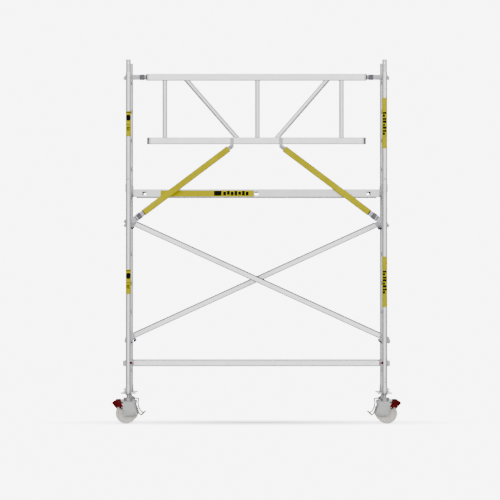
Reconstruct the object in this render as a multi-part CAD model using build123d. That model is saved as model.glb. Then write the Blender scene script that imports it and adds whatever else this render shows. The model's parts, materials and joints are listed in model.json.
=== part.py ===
from build123d import *
import os
from math import atan2, cos, degrees, hypot

# Mobile tower scaffold: two ladder end frames in two lifts, stood on four braked castors.
# Millimetres. Origin on the floor, midway between the four posts.
# +X runs along the bay, +Y from the guardrail side to the back, +Z up.

# ---- driving dimensions -------------------------------------------------------------------
BAY = 2450.0            # end frame to end frame, post centres
DEPTH = 700.0           # front post to rear post, centres
POST_D = 50.8
POST_WALL = 2.0
RUNG_D = 38.0
RUNG_WALL = 2.0
RUNG_PITCH = 280.0

LOWER_FOOT = 312.0      # lower end of the lower frame's tubes
JOINT_Z = 2257.0        # lower frame's top, upper frame's foot
TOP_Z = 3362.0          # upper frame's tube top
FIRST_RUNG_RISE = 195.0  # lowest rung above a frame's foot
LOWER_RUNGS = 7
UPPER_RUNGS = 4

SPIGOT_D = 46.4
SPIGOT_WALL = 3.0
SPIGOT_OUT = 120.0
SPIGOT_IN = 80.0
PIN_HOLES = (85.0, 116.0)   # lock holes above a frame's foot
PIN_HOLE_R = 4.5
LOCK_PIN_R = 4.0

BRACE_H = 58.0          # flat-sided brace tube, height and thickness
BRACE_T = 28.0
BRACE_WALL = 2.0
BASE_Z = 576.0          # base tube centre line
BASE_START = 54.0       # base tube's end to the post's centre
DIAGONAL_Y = 258.0
DIAGONAL_RISE = 34.0    # centre line above the rung it hangs on, at the post
DIAGONAL_LOW_RUNG = 1
DIAGONAL_HIGH_RUNG = 5

RAIL_H = 66.0
RAIL_T = 50.0
RAIL_Y = -310.0
TOP_RAIL_Z = 3313.0
LOW_RAIL_Z = 2704.0
RAIL_HALF = 1048.0
UPRIGHT_D = 47.0
UPRIGHTS_X = (-877.0, 9.0, 813.0)
RAIL_DIAGONALS = ((-664.0, -191.0), (672.0, 201.0))   # X at the top rail and at the low rail

STRUT_H = 64.0
STRUT_T = 30.0
STRUT_PIVOT = (-234.0, 2653.0)
STRUT_PIN_R = 6.0

DECK_TOP = 2242.0
BEAM_BOTTOM = 2170.0
BEAM_HALF = 1178.0
DECK_FRONT = -282.0
DECK_BACK = 308.0
BEAM_T = 30.0
SHEET = 3.0
BOARD = 12.0
HATCH = (-980.0, -205.0, -340.0, 225.0)     # x0, y0, x1, y1 of the opening
HATCH_GAP = 2.0
WINDOWS_X = (-1075.0, 0.0, 1075.0)
WINDOW = (37.0, 34.0)
WINDOW_Z = 2202.0

WHEEL_R = 100.0
WHEEL_W = 50.0
TRAIL = 20.0            # wheel centre outboard of the post's centre
AXLE_R = 6.0
SPINDLE_R = 18.0
SPINDLE_TOP = 690.0
FIT = 0.06              # radial running clearance
GAP = 0.3               # clearance of curved faces that do not fit together

POST_X = BAY / 2
POST_Y = DEPTH / 2
POST_R = POST_D / 2
RUNG_R = RUNG_D / 2
SIDES = {"left": -1, "right": 1}
ENDS = {"front": -1, "rear": 1}
NODES = {}


# ---- helpers ------------------------------------------------------------------------------
def group(solids):
    """One node out of separate solids."""
    flat = []
    for item in solids:
        flat += item.solids()
    return Compound(children=flat)


def corner(shape, side, end):
    """Copy a piece modelled at the left front corner to any corner."""
    if side == "right":
        shape = mirror(shape, about=Plane.YZ)
    if end == "rear":
        shape = mirror(shape, about=Plane.XZ)
    return shape


def all_corners(shape):
    return [corner(shape, side, end) for side in SIDES for end in ENDS]


def plate(points, y_low, y_high, radius=0.0):
    """A flat piece with its outline in X and Z."""
    face = make_face(Polyline(*points, close=True))
    if radius:
        face = fillet(face.vertices(), radius)
    return extrude(Plane.XZ.offset(-y_high) * face, amount=y_high - y_low)


def cylinder_y(radius, y_low, y_high, x, z):
    return Pos(x, (y_low + y_high) / 2, z) * Rot(90, 0, 0) * Cylinder(radius, y_high - y_low)


def cylinder_z(radius, z_low, z_high, x=0.0, y=0.0):
    return Pos(x, y, (z_low + z_high) / 2) * Cylinder(radius, z_high - z_low)


def box(x0, y0, z0, x1, y1, z1):
    centre = Pos((x0 + x1) / 2, (y0 + y1) / 2, (z0 + z1) / 2)
    return centre * Box(x1 - x0, y1 - y0, z1 - z0)


def bar_x(x0, x1, height, thick, corner_r):
    """A rounded rectangular bar along X, centred on the X axis."""
    section = Plane.YZ.offset(x0) * RectangleRounded(thick, height, corner_r)
    return extrude(section, amount=x1 - x0)


def tube_x(x0, x1, height, thick, wall, corner_r):
    outer = bar_x(x0, x1, height, thick, corner_r)
    return outer - bar_x(x0 - 1, x1 + 1, height - 2 * wall, thick - 2 * wall, corner_r - wall)


def tilt(shape, start, end, y):
    """Take a piece built along +X from the origin onto the line from start to end in X and Z."""
    angle = degrees(atan2(end[1] - start[1], end[0] - start[0]))
    return Pos(start[0], y, start[1]) * Rot(0, -angle, 0) * shape


def foot_on_line(point, start, end):
    """Nearest point of a line in X and Z, and the line's height over the point."""
    length = hypot(end[0] - start[0], end[1] - start[1])
    ux, uz = (end[0] - start[0]) / length, (end[1] - start[1]) / length
    along = (point[0] - start[0]) * ux + (point[1] - start[1]) * uz
    return start[0] + along * ux, start[1] + along * uz


def rung_z(foot, index):
    return foot + FIRST_RUNG_RISE + index * RUNG_PITCH


# ---- end frames ---------------------------------------------------------------------------
def post(foot, top, y):
    tube = cylinder_z(POST_R, foot, top, -POST_X, y) - cylinder_z(POST_R - POST_WALL, foot, top, -POST_X, y)
    for rise in PIN_HOLES:
        tube -= cylinder_y(PIN_HOLE_R, y - 2 * POST_R, y + 2 * POST_R, -POST_X, foot + rise)
    return tube


def rung(z):
    """A rung, coped onto the round of both posts."""
    bar = cylinder_y(RUNG_R, -POST_Y, POST_Y, -POST_X, z)
    bar -= cylinder_y(RUNG_R - RUNG_WALL, -POST_Y, POST_Y, -POST_X, z)
    for y in (-POST_Y, POST_Y):
        bar -= cylinder_z(POST_R + 0.05, z - RUNG_D, z + RUNG_D, -POST_X, y)
    return bar


def end_frame(foot, top, rungs, side):
    solids = [post(foot, top, -POST_Y), post(foot, top, POST_Y)]
    solids += [rung(rung_z(foot, index)) for index in range(rungs)]
    frame = group(solids)
    return mirror(frame, about=Plane.YZ) if side == "right" else frame


def spigot(top):
    """The joint tube that stands out of a post for the next frame."""
    z_high = top + SPIGOT_OUT
    tube = cylinder_z(SPIGOT_D / 2, top, z_high)
    tube = chamfer(tube.edges().filter_by(GeomType.CIRCLE).group_by(Axis.Z)[-1], 2.0)
    tube += cylinder_z(SPIGOT_D / 2 - 1.2, top - SPIGOT_IN, top)
    tube -= cylinder_z(SPIGOT_D / 2 - SPIGOT_WALL, top - SPIGOT_IN - 1, z_high + 1)
    tube -= cylinder_y(PIN_HOLE_R, -POST_R, POST_R, 0, top + PIN_HOLES[0])
    return Pos(-POST_X, -POST_Y, 0) * tube


def joint_collar():
    """Sleeve round the joint of the two frames."""
    ring = cylinder_z(POST_R + 4.2, JOINT_Z - 45, JOINT_Z + 34) - cylinder_z(POST_R + GAP, 0, TOP_Z)
    return Pos(-POST_X, -POST_Y, 0) * ring


def foot_collar():
    """Flared collar at a post's foot, with the ear of the leg's clip."""
    low, high = LOWER_FOOT + 1, LOWER_FOOT + 48
    flare = Pos(0, 0, (low + high) / 2) * Cone(31, POST_R + 1.5, high - low)
    ear = box(-46, -8, LOWER_FOOT + 6, -20, 8, LOWER_FOOT + 27)
    ear = fillet(ear.edges().filter_by(Axis.Y).group_by(Axis.X)[0], 6)
    ring = flare + ear - cylinder_z(POST_R + GAP, LOWER_FOOT - 10, high + 10)
    return Pos(-POST_X, -POST_Y, 0) * ring


def lock_pin(foot):
    """Snap pin through a frame's lower lock hole."""
    z = foot + PIN_HOLES[0]
    shank = cylinder_y(LOCK_PIN_R, -POST_R - 3, POST_R + 4, 0, z)
    head = cylinder_y(6.0, -POST_R - 5.5, -POST_R - 1.5, 0, z)
    return Pos(-POST_X, -POST_Y, 0) * (shank + head)


def build_frames():
    for side in SIDES:
        NODES[f"lower_{side}_frame"] = end_frame(LOWER_FOOT, JOINT_Z, LOWER_RUNGS, side)
        NODES[f"upper_{side}_frame"] = end_frame(JOINT_Z, TOP_Z, UPPER_RUNGS, side)
    NODES["joint_spigots"] = group(all_corners(spigot(JOINT_Z)) + all_corners(spigot(TOP_Z)))
    NODES["post_collars"] = group(all_corners(joint_collar()) + all_corners(foot_collar()))
    NODES["lock_pins"] = group(all_corners(lock_pin(JOINT_Z)))


# ---- claws and latches --------------------------------------------------------------------
LATCH_PIN_R = 3.0


def rung_claw(offset, reach, neck_end, neck_h, y_low, y_high):
    """Hook casting along +X outward: the rung's centre lies at (0, -offset)."""
    top = max(24.0, 28.0 - offset)
    lip = -offset - 5
    outline = [(-neck_end, neck_h), (-40, 24), (12, top), (30, top - 5), (reach, -offset + 22), (reach, lip)]
    outline += [(-26, lip), (-40, min(lip, -22)), (-neck_end, -neck_h)]
    head = plate(outline, y_low, y_high)
    head = fillet(head.edges().filter_by(Axis.Y).group_by(Axis.X)[-1], 5)
    head -= cylinder_y(RUNG_R + 0.4, y_low - 1, y_high + 1, 0, -offset)
    return head - box(-RUNG_R - 0.4, y_low - 1, -offset - 90, RUNG_R + 0.4, y_high + 1, -offset)


def diagonal_latch(offset, y_face):
    """Thumb latch under the rung, on the claw's inner face; returns latch, pivot and casting lug."""
    nose = -offset - RUNG_R - 1.6
    pivot = (-42.0, -offset - 8)
    outline = [(-64, nose + 22), (-48, -offset + 2), (-34, -offset + 2), (-28, nose - 2), (8, nose - 2)]
    outline += [(10, nose - 9), (-32, nose - 11), (-58, nose - 4)]
    latch = plate(outline, y_face + 0.5, y_face + 8.5, 1.5)
    latch -= cylinder_y(LATCH_PIN_R + FIT, y_face, y_face + 9, *pivot)
    lug = cylinder_y(9.0, y_face - BRACE_T, y_face, *pivot)
    pin = cylinder_y(LATCH_PIN_R, y_face, y_face + 9.5, *pivot)
    pin += cylinder_y(5.0, y_face + 9.0, y_face + 11.0, *pivot)
    return latch, lug, pin


def base_claw():
    """C casting round the left front post, open to the outside of the tower."""
    low, high = BASE_Z - BRACE_H / 2, BASE_Z + BRACE_H / 2
    ring = cylinder_z(37.0, low, high) + box(-51, -10, low + 3, -20, 16, high - 3)
    ring += box(20, -12, low + 2, BASE_START, 12, high - 2)
    ring = ring - cylinder_z(POST_R + 0.4, low - 1, high + 1) - box(-60, -60, low - 1, 36, -10, high + 1)
    ring -= box(30, -60, low - 1, 60, -14, high + 1)
    pivot = (41.0, BASE_Z + 5.5)
    boss = cylinder_y(6.5, -20.5, -11, *pivot)
    pin = cylinder_y(LATCH_PIN_R, -30, -20.5, *pivot) + cylinder_y(5.0, -32, -29.5, *pivot)
    latch = plate([(16, BASE_Z - 4), (16, BASE_Z + 11), (20, BASE_Z + 15), (49, BASE_Z + 15), (49, BASE_Z - 4)],
                  -29, -21, 2.0)
    latch -= cylinder_y(LATCH_PIN_R + FIT, -30, -20, *pivot)
    place = Pos(-POST_X, -POST_Y, 0)
    return place * (ring + boss), place * pin, place * latch


def build_braces():
    claws = []
    casting, pin, latch = base_claw()
    tube = tube_x(-POST_X + BASE_START, POST_X - BASE_START, BRACE_H, BRACE_T, BRACE_WALL, 11)
    for end, sign in ENDS.items():
        NODES[f"{end}_base_tube"] = Pos(0, sign * POST_Y, BASE_Z) * tube
        for side in SIDES:
            claws += [corner(casting, side, end), corner(pin, side, end)]
            NODES[f"{end}_base_{side}_latch"] = corner(latch, side, end)

    high = (-POST_X, rung_z(LOWER_FOOT, DIAGONAL_HIGH_RUNG))
    low = (POST_X, rung_z(LOWER_FOOT, DIAGONAL_LOW_RUNG))
    start, finish = (high[0], high[1] + DIAGONAL_RISE), (low[0], low[1] + DIAGONAL_RISE)
    angle = atan2(finish[1] - start[1], finish[0] - start[0])
    offset = DIAGONAL_RISE * cos(angle)
    neck = 62.0
    high_foot, low_foot = foot_on_line(high, start, finish), foot_on_line(low, start, finish)
    length = hypot(low_foot[0] - high_foot[0], low_foot[1] - high_foot[1])
    tube = tube_x(neck, length - neck, BRACE_H, BRACE_T, BRACE_WALL, 11)
    front = tilt(tube, high_foot, low_foot, -DIAGONAL_Y)
    head = rung_claw(offset, 54, neck, 24, -BRACE_T / 2, BRACE_T / 2)
    latch, lug, pin = diagonal_latch(offset, BRACE_T / 2)
    ends = {
        "left": lambda piece: tilt(mirror(piece, about=Plane.YZ), high_foot, low_foot, -DIAGONAL_Y),
        "right": lambda piece: tilt(Pos(length, 0, 0) * piece, high_foot, low_foot, -DIAGONAL_Y),
    }
    turn = {"front": Rot(0, 0, 0), "rear": Rot(0, 0, 180)}
    for end, spin in turn.items():
        NODES[f"{end}_diagonal"] = spin * front
        for side, place in ends.items():
            actual = side if end == "front" else {"left": "right", "right": "left"}[side]
            claws += [spin * place(head + lug), spin * place(pin)]
            NODES[f"{end}_diagonal_{actual}_latch"] = spin * place(latch)
    NODES["brace_claws"] = group(claws)


# ---- guardrail ----------------------------------------------------------------------------
RAIL_CORE = 46.0
STRUT_CORE = 54.0
CORE_T = 22.0
SLEEVE_T = 34.0
HEAD_Y = (-13.0, 13.0)      # a guardrail claw's faces about the guardrail's plane


def sleeve(x0, x1, core):
    """Release sleeve that slides on a claw's core of that height, built along X."""
    outer = bar_x(x0, x1, core + 10, SLEEVE_T, 14)
    return outer - bar_x(x0 - 1, x1 + 1, core + 1.0, CORE_T + 1.0, 9.5)


def rail_between(top_x, low_x):
    """A round infill tube between the two rails, trimmed to their faces."""
    z_high, z_low = TOP_RAIL_Z - RAIL_H / 2, LOW_RAIL_Z + RAIL_H / 2
    run = hypot(top_x - low_x, z_high - z_low)
    slope = (top_x - low_x) / (z_high - z_low)
    extra = 60.0
    length = run * (1 + 2 * extra / (z_high - z_low))
    angle = degrees(atan2(top_x - low_x, z_high - z_low))
    pipe = Cylinder(UPRIGHT_D / 2, length) - Cylinder(UPRIGHT_D / 2 - 2, length)
    pipe = Pos((top_x + low_x) / 2, RAIL_Y, (z_high + z_low) / 2) * Rot(0, angle, 0) * pipe
    reach = abs(slope) * (z_high - z_low) / 2 + 200
    middle = (top_x + low_x) / 2
    return pipe & box(middle - reach, RAIL_Y - 100, z_low, middle + reach, RAIL_Y + 100, z_high)


def build_guardrail():
    rail = tube_x(-RAIL_HALF, RAIL_HALF, RAIL_H, RAIL_T, 2.5, 8)
    short = tube_x(-RAIL_HALF + 18, RAIL_HALF - 18, RAIL_H, RAIL_T, 2.5, 8)
    solids = [Pos(0, RAIL_Y, TOP_RAIL_Z) * rail, Pos(0, RAIL_Y, LOW_RAIL_Z) * short]
    solids += [rail_between(x, x) for x in UPRIGHTS_X]
    solids += [rail_between(top_x, low_x) for top_x, low_x in RAIL_DIAGONALS]
    NODES["guardrail_frame"] = group(solids)

    cap = Pos(0, RAIL_Y, LOW_RAIL_Z) * bar_x(RAIL_HALF - 18, RAIL_HALF, RAIL_H, RAIL_T, 8)
    ferrule_end = POST_X - RAIL_HALF
    ferrule = bar_x(-ferrule_end, -ferrule_end + 9, RAIL_H - 3, RAIL_T - 12, 9)
    ferrule -= bar_x(-ferrule_end - 1, -ferrule_end + 10, RAIL_CORE, CORE_T, 9)
    ferrule = Pos(POST_X, RAIL_Y, TOP_RAIL_Z) * ferrule
    caps = [cap, ferrule]
    NODES["guardrail_caps"] = group(caps + [mirror(piece, about=Plane.YZ) for piece in caps])

    offset = TOP_RAIL_Z - rung_z(JOINT_Z, UPPER_RUNGS - 1)
    head = rung_claw(offset, 48, 106, 24, *HEAD_Y) + bar_x(-ferrule_end, -105, RAIL_CORE, CORE_T, 9)
    head = Pos(POST_X, RAIL_Y, TOP_RAIL_Z) * head
    slide = Pos(POST_X, RAIL_Y, TOP_RAIL_Z) * sleeve(-154, -106.5, RAIL_CORE)
    NODES["right_rail_sleeve"] = slide
    NODES["left_rail_sleeve"] = mirror(slide, about=Plane.YZ)

    rung_point = (-POST_X, rung_z(LOWER_FOOT, DIAGONAL_HIGH_RUNG))
    length = hypot(STRUT_PIVOT[0] - rung_point[0], STRUT_PIVOT[1] - rung_point[1])
    claw_face = 88.0
    NODES["guardrail_claws"] = group([head, mirror(head, about=Plane.YZ)])

    tube = tube_x(187, length - 41, STRUT_H, STRUT_T, 2.0, 11)
    core = mirror(rung_claw(0.0, 48, claw_face, 28, *HEAD_Y), about=Plane.YZ)
    core += bar_x(claw_face - 1, 187, STRUT_CORE, CORE_T, 9)
    lug = bar_x(length - 41, length - 8, 42, 26, 6) + cylinder_y(16, -20, 20, length, 0)
    lug -= cylinder_y(STRUT_PIN_R + FIT, -21, 21, length, 0)
    strut = group([tilt(piece, rung_point, STRUT_PIVOT, RAIL_Y) for piece in (tube, core, lug)])
    NODES["left_strut"] = strut
    NODES["right_strut"] = mirror(strut, about=Plane.YZ)
    slide = tilt(sleeve(108, 150, STRUT_CORE), rung_point, STRUT_PIVOT, RAIL_Y)
    NODES["left_strut_sleeve"] = slide
    NODES["right_strut_sleeve"] = mirror(slide, about=Plane.YZ)

    bracket = strut_bracket()
    NODES["strut_brackets"] = group(bracket + [mirror(piece, about=Plane.YZ) for piece in bracket])


def strut_bracket():
    """Two straps on the low rail's faces, and the strut's pivot pin between them."""
    x, z = STRUT_PIVOT
    width, sheet = 34.0, 3.0
    face = RAIL_T / 2
    outline = [(x - width / 2, z - 16), (x + width / 2, z - 16), (x + width / 2, z + 78), (x - width / 2, z + 78)]
    pin = cylinder_y(STRUT_PIN_R, -face - sheet - 2, face + sheet + 2, x, z)
    straps = plate(outline, -face - sheet, -face, 8) + pin + plate(outline, face, face + sheet, 8)
    return [Pos(0, RAIL_Y, 0) * straps]


# ---- platform -----------------------------------------------------------------------------
def side_beam():
    """Front side beam: a channel, open towards the deck."""
    outline = [(-BEAM_HALF, DECK_TOP), (BEAM_HALF, DECK_TOP), (BEAM_HALF, BEAM_BOTTOM + 16),
               (BEAM_HALF - 15, BEAM_BOTTOM), (-BEAM_HALF + 15, BEAM_BOTTOM), (-BEAM_HALF, BEAM_BOTTOM + 16)]
    solid = plate(outline, DECK_FRONT, DECK_FRONT + BEAM_T)
    solid -= box(-BEAM_HALF - 1, DECK_FRONT + SHEET, BEAM_BOTTOM + SHEET,
                 BEAM_HALF + 1, DECK_FRONT + BEAM_T + 1, DECK_TOP - SHEET)
    for x in WINDOWS_X:
        hole = box(x - WINDOW[0] / 2, DECK_FRONT - 1, WINDOW_Z - WINDOW[1] / 2,
                   x + WINDOW[0] / 2, DECK_FRONT + SHEET + 1, WINDOW_Z + WINDOW[1] / 2)
        solid -= fillet(hole.edges().filter_by(Axis.Y), 4)
    return solid


def platform_hook():
    """Plate hook from inside the front beam's left end over the rung."""
    z = rung_z(LOWER_FOOT, LOWER_RUNGS - 1)
    outline = [(-1110, BEAM_BOTTOM + 4), (-1110, DECK_TOP - 4), (-1214, DECK_TOP - 4), (-1242, z + 30),
               (-1252, z + 12), (-1252, z - 6), (-1160, z - 6), (-1160, BEAM_BOTTOM + 4)]
    hook = plate(outline, DECK_FRONT + SHEET + 0.5, DECK_FRONT + BEAM_T - 2)
    hook -= cylinder_y(RUNG_R + 0.4, -POST_Y, 0, -POST_X, z)
    return hook - box(-POST_X - RUNG_R - 0.4, -POST_Y, z - 40, -POST_X + RUNG_R + 0.4, 0, z)


def hatch_hinge(x):
    """Strap hinge on the deck's top: fixed leaf with its pin, and the hatch's leaf."""
    axis_y, axis_z = HATCH[3] + 1, DECK_TOP + 5.5
    leaf = box(x - 40, axis_y + 5.6, DECK_TOP, x + 40, axis_y + 32, DECK_TOP + 2.5)
    pin = Pos(x, axis_y, axis_z) * Rot(0, 90, 0) * Cylinder(2.5, 80)
    knuckle = Rot(0, 90, 0) * Cylinder(5.0, 22)
    fixed = leaf + pin
    for shift in (-28, 28):
        fixed += Pos(x + shift, axis_y, axis_z) * knuckle
        fixed += box(x + shift - 11, axis_y, DECK_TOP, x + shift + 11, axis_y + 8, axis_z)
    ring = Pos(x, axis_y, axis_z) * Rot(0, 90, 0) * Cylinder(5.0, 33)
    moving = ring + box(x - 16.5, axis_y - 32, DECK_TOP, x + 16.5, axis_y - 3, DECK_TOP + 2.5)
    moving += box(x - 16.5, axis_y - 5, DECK_TOP + 0.2, x + 16.5, axis_y - 1, axis_z)
    moving -= Pos(x, axis_y, axis_z) * Rot(0, 90, 0) * Cylinder(2.5 + FIT, 40)
    return fixed, moving


def build_platform():
    middle = Plane.XZ.offset(-(DECK_FRONT + DECK_BACK) / 2)
    beam, hook = side_beam(), platform_hook()
    NODES["platform_beams"] = group([beam, mirror(beam, about=middle)])
    hooks = [hook, mirror(hook, about=middle)]
    NODES["platform_hooks"] = group(hooks + [mirror(piece, about=Plane.YZ) for piece in hooks])
    y0, y1 = DECK_FRONT + BEAM_T + 0.2, DECK_BACK - BEAM_T - 0.2
    board_z = DECK_TOP - BOARD
    bars = [box(x - 15, y0, board_z - 40, x + 15, y1, board_z) for x in (-1150, -980, -340, 300, 650, 1150)]
    NODES["platform_crossbars"] = group(bars)
    x0, hy0, x1, hy1 = HATCH
    hatch_board = box(-BEAM_HALF + 10, y0, board_z, x1 - GAP, y1, DECK_TOP)
    hatch_board -= box(x0, hy0, board_z - 1, x1, hy1, DECK_TOP + 1)
    plain_board = box(x1, y0, board_z, BEAM_HALF - 10, y1, DECK_TOP)
    NODES["platform_deck"] = group([hatch_board, plain_board])
    panel = box(x0 + HATCH_GAP, hy0 + HATCH_GAP, board_z + 0.3, x1 - HATCH_GAP, hy1 - HATCH_GAP, DECK_TOP)
    grip = box((x0 + x1) / 2 - 55, hy0 + 35, 0, (x0 + x1) / 2 + 55, hy0 + 65, TOP_Z)
    panel -= fillet(grip.edges().filter_by(Axis.Z), 12)
    fixed_leaves, moving = [], [panel]
    for x in (x0 + 130, x1 - 130):
        fixed, leaf = hatch_hinge(x)
        fixed_leaves.append(fixed)
        moving.append(leaf)
    NODES["hatch"] = group(moving)
    NODES["hatch_hinges"] = group(fixed_leaves)


# ---- castors ------------------------------------------------------------------------------
# Built at the left front corner: u runs outboard from the post's centre.
FORK_PLATE = (29.5, 33.5)
PEDAL_ARM = (36.0, 40.0)
PEDAL_PIVOT = (59.0, 154.0)
PEDAL_PIN_R = 4.0
LEVER_PIVOT = (-62.0, 226.0)
KING_PIN_R = 8.0
HEAD_TOP = 235.0
CROWN_Z = 205.0


def at_corner(shape):
    return Pos(-POST_X, -POST_Y, 0) * shape


def outboard(points):
    return [(-u, z) for u, z in points]


def both_sides(span):
    return ((-span[1], -span[0]), (span[0], span[1]))


def spindle():
    """Adjustable leg: tube, swivel cap and king pin."""
    leg = cylinder_z(SPINDLE_R, HEAD_TOP + 1, SPINDLE_TOP) - cylinder_z(SPINDLE_R - 4, HEAD_TOP + 20, SPINDLE_TOP)
    cap = cylinder_z(42, HEAD_TOP + 1, HEAD_TOP + 9)
    cap += Pos(0, 0, HEAD_TOP + 13) * Cone(30, 20, 8)
    return at_corner(leg + cap + cylinder_z(KING_PIN_R, CROWN_Z + 9, HEAD_TOP + 1))


def adjusting_nut():
    """Winged nut under the post's foot."""
    low, high = LOWER_FOOT - 39, LOWER_FOOT - 0.6
    body = cylinder_z(31, low + 10, high) + Pos(0, 0, low + 5) * Cone(25, 31, 10)
    wing = extrude(Pos(0, 0, low + 9) * make_face(Polyline((24, -13), (66, -8), (70, -4), (70, 4), (66, 8), (24, 13),
                                                           close=True)), amount=17)
    body += wing + mirror(wing, about=Plane.YZ)
    return at_corner(body - cylinder_z(SPINDLE_R + GAP, low - 1, high + 1))


def stop_housing():
    """Rounded housing at the outboard side of the swivel head."""
    body = box(-70, -18, CROWN_Z - 4, -28, 18, HEAD_TOP - 1.5)
    outer = body.edges().filter_by(Axis.Y).group_by(Axis.X)[0]
    return fillet(outer.sort_by(Axis.Z)[0], 14)


def fork():
    outline = outboard([(42, 212), (52, 192), (72, 142), (20, 69), (-84, 74), (-88, 92), (-66, 130),
                        (-56, 178), (-50, 212)])
    crown = box(-42, -FORK_PLATE[1], CROWN_Z, 50, FORK_PLATE[1], CROWN_Z + 7)
    body = crown + cylinder_z(42, CROWN_Z + 7, HEAD_TOP) + stop_housing()
    body += box(30, -8.5, 219, 67, 8.5, 233) + cylinder_y(4.0, -17, 17, -LEVER_PIVOT[0], LEVER_PIVOT[1])
    for low, high in both_sides(FORK_PLATE):
        body += plate(outline, low, high, 5)
        pin = (low - 8.5, high) if low < 0 else (low, high + 8.5)
        body += cylinder_y(PEDAL_PIN_R, *pin, -PEDAL_PIVOT[0], PEDAL_PIVOT[1])
    body -= cylinder_z(KING_PIN_R + FIT, CROWN_Z + 5, HEAD_TOP + 1)
    body -= cylinder_y(AXLE_R + 0.1, -40, 40, -TRAIL, WHEEL_R)
    bolt = cylinder_y(AXLE_R, -FORK_PLATE[1] - 6, FORK_PLATE[1] + 7, -TRAIL, WHEEL_R)
    bolt += cylinder_y(10, -FORK_PLATE[1] - 6, -FORK_PLATE[1], -TRAIL, WHEEL_R)
    bolt += cylinder_y(9.5, FORK_PLATE[1], FORK_PLATE[1] + 6, -TRAIL, WHEEL_R)
    return group([at_corner(body), at_corner(bolt)])


def wheel():
    half, hub = WHEEL_W / 2, 28.0
    edge = [(AXLE_R + FIT, hub), (27, hub), (31, 15), (76, 15), (82, half), (94, half), (99, half - 6),
            (WHEEL_R, half - 14)]
    points = edge + [(r, -y) for r, y in reversed(edge)]
    body = revolve(make_face(Polyline(*points, close=True)), Axis.Y)
    return at_corner(Pos(-TRAIL, 0, WHEEL_R) * body)


def brake_pedal():
    """Red pedal: two cheeks and a tread web straddling the wheel, with a cross bar as brake shoe."""
    cheek = outboard([(159, 199), (138, 220), (96, 220), (74, 199), (50, 172), (50, 146), (66, 138),
                      (94, 163), (110, 141)])
    web = outboard([(159, 199), (138, 220), (96, 220), (74, 199), (77, 196), (97.5, 216), (136.5, 216),
                    (156, 196)])
    body = plate(web, -PEDAL_ARM[1], PEDAL_ARM[1]) + cylinder_y(5, -PEDAL_ARM[0], PEDAL_ARM[0], -93, 181.6)
    for low, high in both_sides(PEDAL_ARM):
        body += plate(cheek, low, high)
    body = fillet(body.edges().filter_by(Axis.Y).filter_by_position(Axis.Z, 219.9, 220.1), 9)
    body -= cylinder_y(PEDAL_PIN_R + FIT, -50, 50, -PEDAL_PIVOT[0], PEDAL_PIVOT[1])
    return at_corner(body)


def side_line(points, distance):
    """The line that runs beside a chain of points at that distance."""
    line = []
    for index, point in enumerate(points):
        before, after = points[max(index - 1, 0)], points[min(index + 1, len(points) - 1)]
        length = hypot(after[0] - before[0], after[1] - before[1])
        line.append((point[0] - (after[1] - before[1]) / length * distance,
                     point[1] + (after[0] - before[0]) / length * distance))
    return line


def release_lever():
    """Pressed steel channel hung from the fork's inboard lug, with a foot pad at its end."""
    middle = [(-79, 228), (-78, 208), (-74, 185), (-76, 160), (-84, 132), (-97, 108), (-112, 92), (-126, 84)]
    outer, inner, web = side_line(middle, 6.0), side_line(middle, -6.0), side_line(middle, 3.0)
    body = plate(outboard(outer + web[::-1]), -15, 15)
    for low, high in both_sides((12.0, 15.0)):
        body += plate(outboard(outer + inner[::-1]), low, high)
    body += plate(outboard([(-116, 78), (-116, 90), (-140, 106), (-150, 102), (-150, 94), (-128, 78)]), -17, 17, 2)
    for low, high in both_sides((9.0, 15.0)):
        body += cylinder_y(8, low, high, -LEVER_PIVOT[0], LEVER_PIVOT[1])
        body += box(-LEVER_PIVOT[0], low, LEVER_PIVOT[1] - 8, 76, high, LEVER_PIVOT[1] + 2)
    return at_corner(body - cylinder_y(4.0 + FIT, -16, 16, -LEVER_PIVOT[0], LEVER_PIVOT[1]))


def build_castors():
    pieces = {"leg_spindle": spindle(), "adjusting_nut": adjusting_nut(), "castor_fork": fork(),
              "wheel": wheel(), "brake_pedal": brake_pedal(), "release_lever": release_lever()}
    for side in SIDES:
        for end in ENDS:
            for name, shape in pieces.items():
                NODES[f"{end}_{side}_{name}"] = corner(shape, side, end)


# ---- write --------------------------------------------------------------------------------
def main():
    build_frames()
    build_braces()
    build_guardrail()
    build_platform()
    build_castors()
    os.makedirs("parts", exist_ok=True)
    for name, shape in NODES.items():
        export_step(shape, os.path.join("parts", name + ".step"))
    print(len(NODES), "nodes")


main()
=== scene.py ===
import json
import math

import bmesh
import bpy
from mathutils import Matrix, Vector


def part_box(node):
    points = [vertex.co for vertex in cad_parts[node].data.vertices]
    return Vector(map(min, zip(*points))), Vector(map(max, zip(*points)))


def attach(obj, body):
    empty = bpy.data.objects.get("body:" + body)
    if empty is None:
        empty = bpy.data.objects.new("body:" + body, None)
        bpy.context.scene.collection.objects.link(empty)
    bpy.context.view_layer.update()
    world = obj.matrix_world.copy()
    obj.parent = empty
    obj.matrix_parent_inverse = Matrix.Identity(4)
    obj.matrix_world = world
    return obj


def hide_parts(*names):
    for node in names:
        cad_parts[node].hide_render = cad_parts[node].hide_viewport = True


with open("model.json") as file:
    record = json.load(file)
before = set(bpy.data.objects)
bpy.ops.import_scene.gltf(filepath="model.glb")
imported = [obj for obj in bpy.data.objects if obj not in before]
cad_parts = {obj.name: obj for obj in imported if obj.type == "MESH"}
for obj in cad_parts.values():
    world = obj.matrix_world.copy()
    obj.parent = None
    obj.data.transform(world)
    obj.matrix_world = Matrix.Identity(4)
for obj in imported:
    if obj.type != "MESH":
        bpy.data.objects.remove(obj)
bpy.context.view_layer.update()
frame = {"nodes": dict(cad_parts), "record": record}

NODES = frame["nodes"]
BODY_OF = {n: b for b, names in frame["record"]["behaviour"]["bodies"].items() for n in names}
JOINT = {j["name"]: j for j in frame["record"]["behaviour"]["joints"]}
SIDES = {"left": -1, "right": 1}
ENDS = {"front": -1, "rear": 1}

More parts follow.
